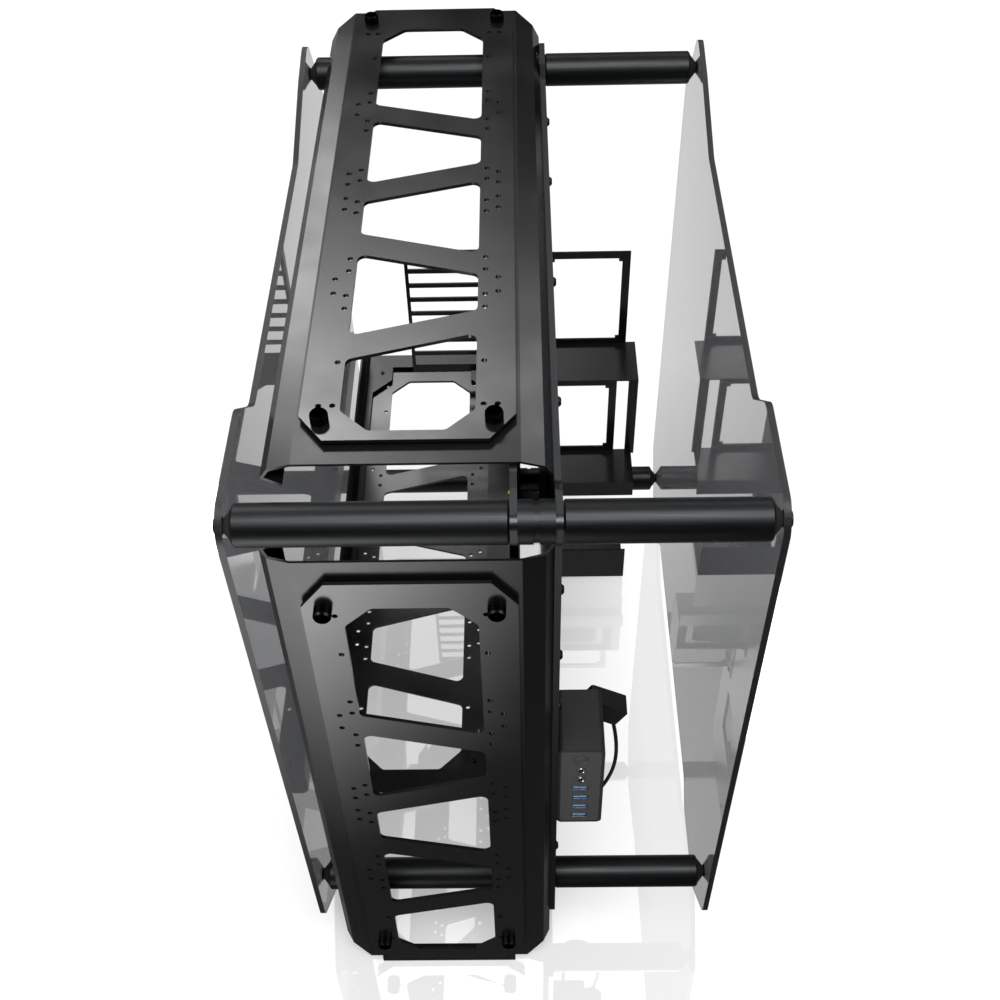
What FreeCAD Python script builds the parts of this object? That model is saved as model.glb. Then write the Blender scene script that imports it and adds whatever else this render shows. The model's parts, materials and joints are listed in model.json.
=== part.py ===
import FreeCAD, Part
import math
import os
from types import SimpleNamespace

from FreeCAD import Placement, Rotation, Vector

# Open-frame computer case. Millimetres, +Z up, the front looks along -Y.
# The origin is on the floor, under the middle of the case.
# Inside the script "depth" counts from the front panel's outer face to the rear,
# and "height" counts from the floor.

SIZES = (
    # overall
    ("case_width", 376),
    ("glass_thickness", 5),
    ("plate_sheet", 5),
    ("bracket_sheet", 2),
    ("clearance", 0.2),
    # slotted radiator panels
    ("panel_length", 590),
    ("panel_width", 150),
    ("panel_thickness", 3),
    ("panel_chamfer_along", 24),
    ("panel_chamfer_across", 18),
    ("panel_slide", 6),
    ("panel_opening_half", 47),
    ("panel_far_margin", 32),
    ("panel_near_margin", 15),
    ("panel_opening_chamfer", 20),
    ("panel_opening_radius", 6),
    ("member_width", 26),
    ("member_rise", 27),
    ("member_left_1", 131),
    ("member_left_2", 11),
    ("member_left_3", -58),
    ("member_left_4", -181),
    ("fan_hole", 4.4),
    ("fan_column", 105),
    ("fan_row_1", 15),
    ("fan_row_2", 30),
    ("fan_row_3", 90),
    ("fan_row_4", 105),
    ("fan_row_5", 135),
    ("fan_row_6", 150),
    ("fan_row_7", 210),
    ("fan_row_8", 255),
    ("wide_fan_column", 124.5),
    ("wide_row_1", 10),
    ("wide_row_2", 25),
    ("wide_row_3", 115),
    ("wide_row_4", 132),
    ("wide_row_5", 255),
    ("top_panel_setback", 68),
    ("front_panel_low", 16),
    ("front_panel_drop", 58),
    ("bottom_panel_height", 189),
    ("bottom_panel_setback", 90),
    # folded brackets behind the panels
    ("bracket_overhang", 11),
    ("bracket_glass_gap", 18),
    ("bracket_bevel_width", 16),
    ("bracket_bevel_drop", 4.5),
    ("bracket_edge_width", 6),
    ("bracket_edge_drop", 13),
    ("bracket_lip_reach", 14),
    ("bracket_lip_drop", 8),
    ("bracket_flange", 46),
    ("bracket_corner_along", 28),
    ("bracket_flange_trim", 30),
    ("bracket_window_half", 70),
    ("bracket_window_margin", 11),
    ("bottom_glass_gap", 6),
    ("bottom_bracket_deep", 40),
    ("bottom_bracket_bevel", 5),
    ("bottom_flange_gap", 15),
    ("tube_notch_gap", 1),
    ("top_screw_1", -210),
    ("top_screw_2", -70),
    ("top_screw_3", 70),
    ("top_screw_tube_gap", 72),
    ("front_screw_1", -150),
    ("front_screw_2", 80),
    ("front_screw_3", 150),
    ("front_screw_4", 230),
    ("bottom_screw_1", -210),
    ("bottom_screw_2", -70),
    ("bottom_screw_3", 70),
    ("bottom_screw_4", 165),
    # thumb screws that hold the panels off the brackets
    ("knob_diameter", 13),
    ("knob_height", 8),
    ("knob_edge", 1.5),
    ("knob_half_width", 60),
    ("knob_shank", 4),
    ("top_knob_span", 274),
    ("top_knob_slide", 4),
    ("front_knob_span", 260),
    ("front_knob_slide", 2),
    ("standoff_height", 2.5),
    ("standoff_diameter", 9),
    # cross tubes in the four corners
    ("tube_diameter", 30),
    ("tube_edge", 1.5),
    ("tube_stud", 8),
    ("tube_stud_depth", 24),
    ("washer_length", 6),
    ("washer_tip", 10),
    ("washer_base", 25),
    ("spacer_groove_depth", 1.2),
    ("spacer_groove_width", 4),
    ("front_top_depth", 15),
    ("front_top_drop", 19),
    ("rear_top_inset", 72),
    ("rear_top_drop", 30),
    ("front_bottom_depth", 47),
    ("front_bottom_height", 98),
    ("rear_bottom_inset", 59),
    ("rear_bottom_height", 52),
    ("glass_screw_head", 12),
    ("glass_screw_height", 1.5),
    ("glass_screw_shank", 5),
    ("glass_screw_length", 18),
    # two upright plates in the middle
    ("tray_x", 5),
    ("plate_gap", 25),
    ("plate_rear_margin", 14),
    ("plate_front_depth", 18),
    ("plate_lobe", 18),
    ("plate_nose", 13),
    ("plate_low_edge", 56),
    ("plate_corner_radius", 8),
    ("plate_fold_gap", 1),
    ("foot_near_inset", 100),
    ("foot_far_inset", 32),
    ("plate_foot_height", 8),
    # glass outline
    ("glass_front_depth", 4),
    ("glass_rear_inset", 17),
    ("glass_waist_drop", 41),
    ("glass_low_edge", 34),
    ("glass_foot_height", 10),
    ("glass_corner_radius", 18),
    ("glass_front_crest", 13),
    ("glass_nose_along", 12),
    ("glass_nose_down", 16),
    ("glass_notch_start", 108),
    ("glass_notch_end", 148),
    ("glass_ramp_start", 136),
    ("glass_ramp_end", 48),
    ("glass_ramp_drop", 11),
    ("glass_rear_crest", 31),
    ("glass_crest_past", 3),
    ("glass_rear_slope", 83),
    ("glass_heel_rise", 12),
    ("glass_heel", 45),
    ("glass_rear_foot", 115),
    ("glass_front_foot", 143),
    ("glass_toe", 28),
    ("glass_toe_in", 16),
    ("glass_toe_drop", 32),
    # motherboard side
    ("board_standoff_height", 6.5),
    ("board_standoff_diameter", 6),
    ("board_thread", 3.2),
    ("board_thread_floor", 1),
    ("board_rear_inset", 40),
    ("board_rise", 345),
    ("board_column_1", 157.48),
    ("board_column_2", 227.33),
    ("board_row_1", 124.46),
    ("board_row_2", 281.94),
    ("slot_pitch", 20.32),
    ("slot_count", 8),
    ("slot_opening", 14.5),
    ("slot_length", 91),
    ("slot_side_margin", 4),
    ("slot_frame_width", 121),
    ("slot_frame_margin", 8),
    ("slot_frame_inset", 26),
    ("slot_frame_flange", 22),
    ("slot_lip", 12),
    ("slot_rise", 21),
    ("processor_window_inset", 142),
    ("processor_window_lift", 236),
    ("processor_window_width", 125),
    ("processor_window_rise", 96),
    ("grommet_slot_width", 28),
    ("grommet_slot_height", 84),
    ("grommet_wall", 3),
    ("grommet_lip", 2),
    ("grommet_inset", 284),
    ("grommet_lift", 73),
    ("grommet_pitch", 112),
    ("grommet_count", 3),
    # power supply side
    ("cage_width", 97),
    ("cage_rim", 9),
    ("cage_tab", 4),
    ("cage_flange", 22),
    ("supply_frame_inset", 37),
    ("supply_frame_low", 258),
    ("supply_frame_rise", 134),
    ("supply_shelf_reach", 64),
    ("supply_shelf_width", 108),
    ("supply_strip_width", 11),
    ("drive_frame_step", 59),
    ("drive_frame_low", 139),
    ("drive_frame_width", 84),
    ("drive_shelf_reach", 53),
    ("drive_shelf_width", 105),
    ("drive_apron", 21),
    ("base_face_inset", 182),
    ("base_face_low", 6),
    ("base_face_high", 56),
    ("base_shelf_reach", 66),
    # front connector box
    ("box_width", 39),
    ("box_length", 60),
    ("box_height", 116),
    ("box_low_height", 239),
    ("box_front_depth", 22),
    ("box_wall", 2.5),
    ("box_corner", 5),
    ("face_thickness", 2),
    ("button_diameter", 11),
    ("button_drop", 15),
    ("button_proud", 1.6),
    ("button_flange", 14),
    ("button_travel", 1),
    ("button_flange_thickness", 1.2),
    ("button_stem_length", 3),
    ("switch_side", 9),
    ("jack_drop", 31),
    ("jack_pitch", 14),
    ("jack_diameter", 8),
    ("jack_bore", 3.6),
    ("jack_floor", 2),
    ("usb_drop", 59),
    ("usb_pitch", 15),
    ("usb_count", 4),
    ("usb_width", 14.5),
    ("usb_height", 7),
    ("usb_wall", 0.8),
    ("usb_tongue", 2),
    ("port_length", 15),
    ("board_thickness", 1.6),
    ("plug_length", 36),
    ("plug_height", 22),
    ("plug_depth", 18),
    ("plug_side", 42),
    ("plug_drop", 37),
    ("plug_tilt", 30),
    ("cable_diameter", 3.5),
    ("cable_right", 48),
    ("cable_left", 15),
    ("cable_top", 50),
    ("cable_hang", 130),
    ("cable_bulge", 7.5),
    ("cable_return", 60),
    ("cable_turn", 12),
    # small fasteners and feet
    ("screw_head", 8),
    ("screw_head_height", 3),
    ("screw_shank", 4),
    ("foot_strip_length", 132),
    ("foot_strip_width", 9),
    ("foot_strip_height", 9),
    ("foot_pad_diameter", 22),
    ("foot_pad_edge", 3),
)

doc = FreeCAD.newDocument("open_frame_case")
sheet = doc.addObject("Spreadsheet::Sheet", "Sheet")
for row, (alias, value) in enumerate(SIZES, start=1):
    sheet.set("A%d" % row, alias)
    sheet.set("B%d" % row, str(value))
    sheet.setAlias("B%d" % row, alias)
doc.recompute()
d = SimpleNamespace(**{alias: float(sheet.get(alias)) for alias, _ in SIZES})

# Places that follow from the driving sizes
half_panel = d.panel_length / 2
half_bracket = half_panel + d.bracket_overhang
panel_stack = d.panel_thickness + d.standoff_height
top_face_height = d.front_panel_low + d.panel_length + d.front_panel_drop
plate_rear_depth = d.top_panel_setback + d.panel_length + d.plate_rear_margin
main_plate_x = d.tray_x + d.plate_sheet + d.plate_gap
main_plate_right = main_plate_x + d.plate_sheet
glass_inner_x = d.case_width / 2 - d.glass_thickness
bracket_half = (main_plate_x + glass_inner_x - d.bracket_glass_gap) / 2
bracket_web = bracket_half - d.bracket_edge_width - d.bracket_bevel_width
bracket_deep = d.bracket_edge_drop + d.bracket_flange
panel_centre_x = main_plate_x - bracket_half
rear_reach = d.bottom_panel_setback + d.panel_length + d.bracket_overhang
front_y = -(rear_reach - d.knob_height) / 2
top_centre_depth = d.top_panel_setback + half_panel
front_centre_height = d.front_panel_low + half_panel
bottom_centre_depth = d.bottom_panel_setback + half_panel
bottom_centre_x = d.tray_x - bracket_half
bottom_left = bottom_centre_x + glass_inner_x - d.bottom_glass_gap
front_top_height = top_face_height - d.front_top_drop
rear_top_height = top_face_height - d.rear_top_drop
rear_top_depth = plate_rear_depth - d.rear_top_inset
rear_bottom_depth = plate_rear_depth - d.rear_bottom_inset
foot_near_depth = plate_rear_depth - d.foot_near_inset
foot_far_depth = plate_rear_depth - d.foot_far_inset
board_rear_depth = plate_rear_depth - d.board_rear_inset
board_top_height = d.bottom_panel_height + d.board_rise
slot_frame_depth = plate_rear_depth - d.slot_frame_inset
slot_low_height = d.bottom_panel_height + d.slot_rise
slot_high_height = slot_low_height + d.slot_count * d.slot_pitch + 2 * d.slot_frame_margin
supply_frame_depth = plate_rear_depth - d.supply_frame_inset
supply_frame_high = d.supply_frame_low + d.supply_frame_rise
supply_shelf_front = supply_frame_depth - d.supply_shelf_reach
drive_frame_depth = supply_frame_depth - d.drive_frame_step
drive_frame_high = d.supply_frame_low - d.bracket_sheet
drive_shelf_front = drive_frame_depth - d.drive_shelf_reach
base_face_depth = plate_rear_depth - d.base_face_inset
base_shelf_rear = base_face_depth + d.base_shelf_reach
CORNERS = (
    ("front_top", d.front_top_depth, front_top_height),
    ("rear_top", rear_top_depth, rear_top_height),
    ("front_bottom", d.front_bottom_depth, d.front_bottom_height),
    ("rear_bottom", rear_bottom_depth, d.rear_bottom_height),
)
CASE = Placement(Vector(0, front_y, 0), Rotation())
ALONG_RIGHT = Rotation(Vector(0, 1, 0), 90)
ALONG_LEFT = Rotation(Vector(0, 1, 0), -90)
# Each panel's own +Y runs to the rear or upwards; far tells which way leads away from the top front edge
TOP = SimpleNamespace(
    name="top", far=1, slide=d.panel_slide, knob_span=d.top_knob_span, knob_slide=d.top_knob_slide,
    placement=Placement(Vector(panel_centre_x, front_y + top_centre_depth, top_face_height), Rotation()))
FRONT = SimpleNamespace(
    name="front", far=-1, slide=-d.panel_slide, knob_span=d.front_knob_span, knob_slide=d.front_knob_slide,
    placement=Placement(Vector(panel_centre_x, front_y, front_centre_height),
                        Rotation(Vector(1, 0, 0), 90)))
BOTTOM = SimpleNamespace(
    name="bottom", far=1, slide=0, knob_span=d.top_knob_span, knob_slide=0,
    placement=Placement(Vector(bottom_centre_x, front_y + bottom_centre_depth, d.bottom_panel_height),
                        Rotation(Vector(0, 1, 0), 180)))
STRAIGHT = 1e-6
pieces = []


def series(stem):
    """Sizes of one numbered series, in the sheet's order."""
    return [size for alias, size in vars(d).items() if alias.startswith(stem)]


# Drawing helpers

def closed(points):
    """Straight closed outline."""
    corners = [Vector(x, y, 0) for x, y in points]
    return [Part.LineSegment(a, b) for a, b in zip(corners, corners[1:] + corners[:1])]


def rounded(points, radius):
    """Closed outline whose corners are arcs of one radius; points in line are passed over."""
    corners = [Vector(x, y, 0) for x, y in points]
    spans = []
    for index, corner in enumerate(corners):
        before = (corners[index - 1] - corner).normalize()
        after = (corners[(index + 1) % len(corners)] - corner).normalize()
        if before.cross(after).Length < STRAIGHT:
            continue
        half_angle = before.getAngle(after) / 2
        reach = radius / math.tan(half_angle)
        middle = (before + after).normalize()
        bulge = corner + middle * (radius / math.sin(half_angle) - radius)
        spans.append((corner + before * reach, bulge, corner + after * reach))
    geometry = []
    for index, (start, bulge, end) in enumerate(spans):
        geometry.append(Part.Arc(start, bulge, end))
        geometry.append(Part.LineSegment(end, spans[(index + 1) % len(spans)][0]))
    return geometry


def box_outline(x0, x1, y0, y1):
    return [(x0, y0), (x1, y0), (x1, y1), (x0, y1)]


def circle(x, y, diameter):
    return [Part.Circle(Vector(x, y, 0), Vector(0, 0, 1), diameter / 2)]


def new_body(label, placement=CASE):
    body = doc.addObject("PartDesign::Body", label)
    body.Label = label
    body.Placement = placement
    return body


def kept(piece):
    pieces.append(piece)
    return piece


def sketch(body, role, loops, offset=0.0):
    """Sketch on one of the body's own planes, moved along the plane's normal."""
    plane = [feature for feature in body.Origin.OriginFeatures if feature.Role == role][0]
    drawing = body.newObject("Sketcher::SketchObject", body.Label + "_sketch")
    drawing.AttachmentSupport = (plane, [""])
    drawing.MapMode = "FlatFace"
    drawing.AttachmentOffset = Placement(Vector(0, 0, offset), Rotation())
    for loop in loops:
        drawing.addGeometry(loop, False)
    return drawing


def pad(body, drawing, length, backwards=False, both_ways=False):
    """Pad whose length is an expression on the sheet."""
    feature = body.newObject("PartDesign::Pad", body.Label + "_pad")
    feature.Profile = drawing
    feature.setExpression("Length", length)
    feature.Reversed = backwards
    if both_ways:
        feature.SideType = "Symmetric"
    doc.recompute()
    return feature


def pocket(body, drawing, backwards=False, both_ways=False, length=None):
    """Pocket through everything on its side, or to a length, that has to remove material."""
    volume = body.Shape.Volume
    feature = body.newObject("PartDesign::Pocket", body.Label + "_pocket")
    feature.Profile = drawing
    feature.Reversed = backwards
    if length is None:
        feature.Type = "ThroughAll"
    else:
        feature.Type = "Length"
        feature.setExpression("Length", length)
    if both_ways:
        feature.SideType = "Symmetric"
    doc.recompute()
    if body.Shape.Volume >= volume:
        raise RuntimeError("pocket cuts nothing in " + body.Label)
    return feature


def turned(label, profile, placement=Placement()):
    """Solid of revolution about the local Z axis from (radius, height) points."""
    body = new_body(label, placement)
    drawing = sketch(body, "XZ_Plane", [closed(profile)])
    feature = body.newObject("PartDesign::Revolution", label + "_revolution")
    feature.Profile = drawing
    feature.ReferenceAxis = (drawing, ["V_Axis"])
    feature.Angle = 360
    doc.recompute()
    return body


def group(label, master, placements):
    """Loose identical pieces kept together in one node."""
    copies = []
    for placement in placements:
        copy = master.Shape.copy()
        copy.Placement = placement.multiply(copy.Placement)
        copies.append(copy)
    feature = doc.addObject("Part::Feature", label)
    feature.Label = label
    feature.Shape = Part.makeCompound(copies)
    return kept(feature)


# Slotted panels: flat plates with diagonal members and fan hole columns

def member_edges(left_high, rises):
    """Upper and lower edge heights of one diagonal member at the left and right side."""
    lean = d.member_rise if rises else -d.member_rise
    upper = (left_high, left_high + lean)
    return upper, (upper[0] - d.member_width, upper[1] - d.member_width)


def panel_openings():
    side = d.panel_opening_half
    cut = d.panel_opening_chamfer
    far = half_panel - d.panel_far_margin
    near = d.panel_near_margin - half_panel
    members = [member_edges(left, index % 2 == 1) for index, left in enumerate(series("member_left_"))]
    loops = []
    first_upper = members[0][0]
    loops.append([(-side, first_upper[0]), (side, first_upper[1]), (side, far - cut),
                  (side - cut, far), (cut - side, far), (-side, far - cut)])
    for above, below in zip(members, members[1:]):
        lower = above[1]
        upper = below[0]
        loops.append([(-side, lower[0]), (-side, upper[0]), (side, upper[1]), (side, lower[1])])
    last_lower = members[-1][1]
    loops.append([(-side, last_lower[0]), (-side, near + cut), (cut - side, near),
                  (side - cut, near), (side, near + cut), (side, last_lower[1])])
    return loops


def panel_holes():
    holes = []
    for column, spots in ((d.fan_column / 2, series("fan_row_")),
                          (d.wide_fan_column / 2, series("wide_row_"))):
        for spot in spots:
            for u in (-column, column):
                for v in (-spot, spot):
                    holes.append(circle(u, v, d.fan_hole))
    return holes


def knob_spots(side):
    return [(u, side.knob_slide + v) for u in (-d.knob_half_width, d.knob_half_width)
            for v in (-side.knob_span, side.knob_span)]


def knob_holes(side):
    return [circle(u, v, d.knob_shank + 2 * d.clearance) for u, v in knob_spots(side)]


def panel(side):
    body = new_body(side.name + "_panel", side.placement)
    wide = d.panel_width / 2
    high = side.slide + half_panel
    low = side.slide - half_panel
    long_cut = d.panel_chamfer_along
    cross_cut = d.panel_chamfer_across
    outline = [(wide, low + long_cut), (wide, high - long_cut), (wide - cross_cut, high),
               (cross_cut - wide, high), (-wide, high - long_cut), (-wide, low + long_cut),
               (cross_cut - wide, low), (wide - cross_cut, low)]
    loops = [closed(outline)]
    loops += [rounded(points, d.panel_opening_radius) for points in panel_openings()]
    pad(body, sketch(body, "XY_Plane", loops), "Sheet.panel_thickness", backwards=True)
    pocket(body, sketch(body, "XY_Plane", panel_holes() + knob_holes(side)))
    return kept(body)


# Folded brackets behind the panels: web, bevels and flanges

def sheet_section(outer):
    """Closed section of folded sheet from its outer line, thickened to the line's right."""
    line = [Vector(x, y, 0) for x, y in outer]
    normals = []
    for start, end in zip(line, line[1:]):
        run = (end - start).normalize()
        normals.append(Vector(run.y, -run.x, 0))
    before = normals[:1] + normals
    after = normals + normals[-1:]
    inner = [point + (a + b) * (d.bracket_sheet / (1 + a.dot(b)))
             for point, a, b in zip(line, before, after)]
    return outer + [(point.x, point.y) for point in reversed(inner)]


def upper_section():
    """Free lip on the left, flange on the main plate at the right; the web is at height 0."""
    bevel = bracket_half - d.bracket_edge_width
    fold = -d.bracket_bevel_drop
    edge = -d.bracket_edge_drop
    return sheet_section([
        (d.bracket_lip_reach - bracket_half, edge - d.bracket_lip_drop), (-bracket_half, edge),
        (-bevel, fold), (-bracket_web, 0), (bracket_web, 0), (bevel, fold), (bracket_half, edge),
        (bracket_half, -bracket_deep)])


def lower_section():
    """The lower bracket is turned over, so its flange on the tray is on its local left."""
    bevel = d.bottom_bracket_bevel
    deep = d.bottom_bracket_deep
    return sheet_section([
        (-bracket_half, -deep), (-bracket_half, -bevel), (bevel - bracket_half, 0),
        (bottom_left - bevel, 0), (bottom_left, -bevel), (bottom_left, -deep)])


def bracket_window(side):
    wide = d.bracket_window_half
    narrow = d.panel_opening_half + d.plate_fold_gap
    end = half_panel - d.bracket_window_margin
    neck = min(abs(v) for _, v in knob_spots(side)) - d.knob_diameter
    shoulder = neck - (wide - narrow)
    return [(wide, -shoulder), (wide, shoulder), (narrow, neck), (narrow, end), (-narrow, end),
            (-narrow, neck), (-wide, shoulder), (-wide, -shoulder), (-narrow, -neck),
            (-narrow, -end), (narrow, -end), (narrow, -neck)]


def bracket_body(side, section):
    """Folded sheet along the panel, with the window and the thumb screw holes in its web."""
    offset = Placement(Vector(0, 0, -panel_stack), Rotation())
    body = new_body(side.name + "_bracket", side.placement.multiply(offset))
    pad(body, sketch(body, "XZ_Plane", [closed(section)]),
        "Sheet.panel_length + 2 * Sheet.bracket_overhang", both_ways=True)
    pocket(body, sketch(body, "XY_Plane", [closed(bracket_window(side))] + knob_holes(side)))
    return kept(body)


def tube_notch(along, below):
    """Notch open to the flange's free edge, round at the tube."""
    reach = d.tube_diameter / 2 + d.tube_notch_gap
    left = Vector(along - reach, -below, 0)
    right = Vector(along + reach, -below, 0)
    left_low = Vector(along - reach, -2 * bracket_deep, 0)
    right_low = Vector(along + reach, -2 * bracket_deep, 0)
    return [Part.Arc(left, Vector(along, reach - below, 0), right), Part.LineSegment(right, right_low),
            Part.LineSegment(right_low, left_low), Part.LineSegment(left_low, left)]


def far_corner(side, hand):
    """Corner cut off the bracket's far end, from the web's fold to the outer edge."""
    end = side.far * half_bracket
    back = side.far * (half_bracket - d.bracket_corner_along)
    beyond = side.far * (half_bracket + d.bracket_sheet)
    outside = hand * (bracket_half + d.bracket_sheet)
    return closed([(hand * bracket_web, end), (hand * bracket_half, back), (outside, back),
                   (outside, beyond), (hand * bracket_web, beyond)])


def bracket(side, screw_spots, tube):
    """Tube is the place along the bracket and the depth below the web where a tube passes."""
    body = bracket_body(side, upper_section())
    pocket(body, sketch(body, "XY_Plane", [far_corner(side, hand) for hand in (-1, 1)]))
    near = -side.far * half_bracket
    trimmed = near + side.far * d.bracket_flange_trim
    corner = [(near, -bracket_deep), (trimmed, -bracket_deep), (near, d.bracket_flange_trim - bracket_deep)]
    pocket(body, sketch(body, "YZ_Plane", [closed(corner)]), both_ways=True)
    pocket(body, sketch(body, "YZ_Plane", [tube_notch(*tube)]), both_ways=True)
    pocket(body, sketch(body, "YZ_Plane", screw_holes(screw_spots)), backwards=True)


def bottom_bracket():
    """The flange stops short of the rear, where the slot frame stands."""
    body = bracket_body(BOTTOM, lower_section())
    frame_end = slot_frame_depth - bottom_centre_depth - d.bottom_flange_gap
    flange_end = min(frame_end, half_bracket - d.bottom_flange_gap)
    clear = box_outline(flange_end, half_bracket, -d.bottom_bracket_deep, -d.bracket_sheet)
    pocket(body, sketch(body, "YZ_Plane", [closed(clear)]))
    pocket(body, sketch(body, "YZ_Plane", screw_holes(BOTTOM_SCREWS)))


flange_middle = d.bracket_edge_drop + d.bracket_flange / 2
bottom_flange_middle = (d.bottom_bracket_bevel + d.bottom_bracket_deep) / 2
TOP_TUBE = (rear_top_depth - top_centre_depth, d.rear_top_drop - panel_stack)
FRONT_TUBE = (d.front_bottom_height - front_centre_height, d.front_bottom_depth - panel_stack)
TOP_SCREWS = [(along, -flange_middle)
              for along in series("top_screw_")[:-1] + [TOP_TUBE[0] - d.top_screw_tube_gap]]
FRONT_SCREWS = [(along, -flange_middle) for along in series("front_screw_")]
BOTTOM_SCREWS = [(along, -bottom_flange_middle) for along in series("bottom_screw_")]


def panels_and_brackets():
    bracket(TOP, TOP_SCREWS, TOP_TUBE)
    bracket(FRONT, FRONT_SCREWS, FRONT_TUBE)
    bottom_bracket()
    for side in (TOP, FRONT, BOTTOM):
        panel(side)


# Thumb screws and the washers under the panels

def knobs_and_standoffs():
    head = d.knob_diameter / 2
    shank = d.knob_shank / 2
    edge = d.knob_edge
    tail = -(panel_stack + d.bracket_sheet + edge)
    knob = turned("knob_master", [(0, tail), (shank, tail), (shank, 0), (head, 0),
                                  (head, d.knob_height - edge), (head - edge, d.knob_height),
                                  (0, d.knob_height)])
    ring = d.standoff_diameter / 2
    bore = shank + d.clearance
    low = -panel_stack
    high = -d.panel_thickness
    standoff = turned("standoff_master", [(bore, low), (ring, low), (ring, high), (bore, high)])
    for side in (TOP, FRONT, BOTTOM):
        spots = [side.placement.multiply(Placement(Vector(u, v, 0), Rotation()))
                 for u, v in knob_spots(side)]
        group(side.name + "_knobs", knob, spots)
        group(side.name + "_standoffs", standoff, spots)


# Cross tubes, spacers, studs and the screws through the glass

def cross_tube(label, length, placement):
    radius = d.tube_diameter / 2
    edge = d.tube_edge
    screw = d.glass_screw_shank / 2 + d.clearance
    screw_depth = d.glass_screw_length - d.glass_thickness - d.washer_length + edge
    stud = d.tube_stud / 2 + d.clearance
    stud_floor = length - d.tube_stud_depth
    profile = [(screw, 0), (radius - edge, 0), (radius, edge), (radius, length - edge),
               (radius - edge, length), (stud, length), (stud, stud_floor), (0, stud_floor),
               (0, screw_depth), (screw, screw_depth)]
    return kept(turned(label, profile, placement))


def tubes():
    tube_end = glass_inner_x - d.washer_length
    left_length = d.tray_x + tube_end
    right_length = tube_end - main_plate_right
    radius = d.tube_diameter / 2
    bore = d.tube_stud / 2 + d.clearance
    groove = radius - d.spacer_groove_depth
    middle = d.plate_gap / 2
    half_groove = d.spacer_groove_width / 2
    spacer = [(bore, 0), (radius, 0), (radius, middle - half_groove), (groove, middle - half_groove),
              (groove, middle + half_groove), (radius, middle + half_groove), (radius, d.plate_gap),
              (bore, d.plate_gap)]
    stud_end = d.tube_stud_depth - d.tube_edge
    stud_length = d.plate_gap + 2 * d.plate_sheet + 2 * stud_end
    stud_radius = d.tube_stud / 2
    stud = turned("stud_master", [(0, 0), (stud_radius, 0), (stud_radius, stud_length), (0, stud_length)])
    screw = d.glass_screw_shank / 2 + d.clearance
    washer = turned("washer_master", [(screw, 0), (d.washer_tip / 2, 0), (d.washer_base / 2, d.washer_length),
                                      (screw, d.washer_length)])
    stud_places = []
    washer_places = []
    for corner, depth, height in CORNERS:
        y = front_y + depth
        cross_tube(corner + "_tube_left", left_length, Placement(Vector(-tube_end, y, height), ALONG_RIGHT))
        cross_tube(corner + "_tube_right", right_length, Placement(Vector(tube_end, y, height), ALONG_LEFT))
        kept(turned(corner + "_spacer", spacer,
                    Placement(Vector(d.tray_x + d.plate_sheet, y, height), ALONG_RIGHT)))
        stud_places.append(Placement(Vector(d.tray_x - stud_end, y, height), ALONG_RIGHT))
        washer_places.append(Placement(Vector(-glass_inner_x, y, height), ALONG_RIGHT))
        washer_places.append(Placement(Vector(glass_inner_x, y, height), ALONG_LEFT))
    group("tube_studs", stud, stud_places)
    group("tube_washers", washer, washer_places)


def glass_screws():
    head = d.glass_screw_head / 2
    shank = d.glass_screw_shank / 2
    crown = d.glass_screw_height
    edge = crown / 2
    screw = turned("glass_screw_master",
                   [(0, -crown), (head - edge, -crown), (head, edge - crown), (head, 0), (shank, 0),
                    (shank, d.glass_screw_length), (0, d.glass_screw_length)])
    half = d.case_width / 2
    for side, x, turn in (("left", -half, ALONG_RIGHT), ("right", half, ALONG_LEFT)):
        group(side + "_glass_screws", screw,
              [Placement(Vector(x, front_y + depth, height), turn) for _, depth, height in CORNERS])


# Glass sides

def glass_outline():
    front = d.glass_front_depth
    rear = plate_rear_depth - d.glass_rear_inset
    foot = d.glass_foot_height
    low = d.glass_low_edge
    lift = low - foot
    waist = top_face_height - d.glass_waist_drop
    front_crest = front_top_height + d.glass_front_crest
    rear_crest = rear_top_height + d.glass_rear_crest
    rear_foot = rear - d.glass_rear_foot
    front_foot = d.front_bottom_depth + d.glass_front_foot
    return [(front, front_crest - d.glass_nose_down), (front + d.glass_nose_along, front_crest),
            (front + d.glass_notch_start, front_crest), (front + d.glass_notch_end, waist),
            (rear_top_depth - d.glass_ramp_start, waist),
            (rear_top_depth - d.glass_ramp_end, rear_crest - d.glass_ramp_drop),
            (rear_top_depth + d.glass_crest_past, rear_crest), (rear, rear_crest - d.glass_rear_slope),
            (rear, d.rear_bottom_height + d.glass_heel_rise), (rear - d.glass_heel, foot),
            (rear_foot, foot), (rear_foot - lift, low), (front_foot, low), (front_foot - lift, foot),
            (d.front_bottom_depth + d.glass_toe, foot),
            (front + d.glass_toe_in, d.front_bottom_height - d.glass_toe_drop)]


def glass(label, x):
    body = new_body(label)
    hole = d.glass_screw_shank + 2 * d.clearance
    loops = [rounded(glass_outline(), d.glass_corner_radius)]
    loops += [circle(depth, height, hole) for _, depth, height in CORNERS]
    pad(body, sketch(body, "YZ_Plane", loops, x), "Sheet.glass_thickness")
    return kept(body)


# Upright middle plates: the motherboard tray and the main plate behind it

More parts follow.
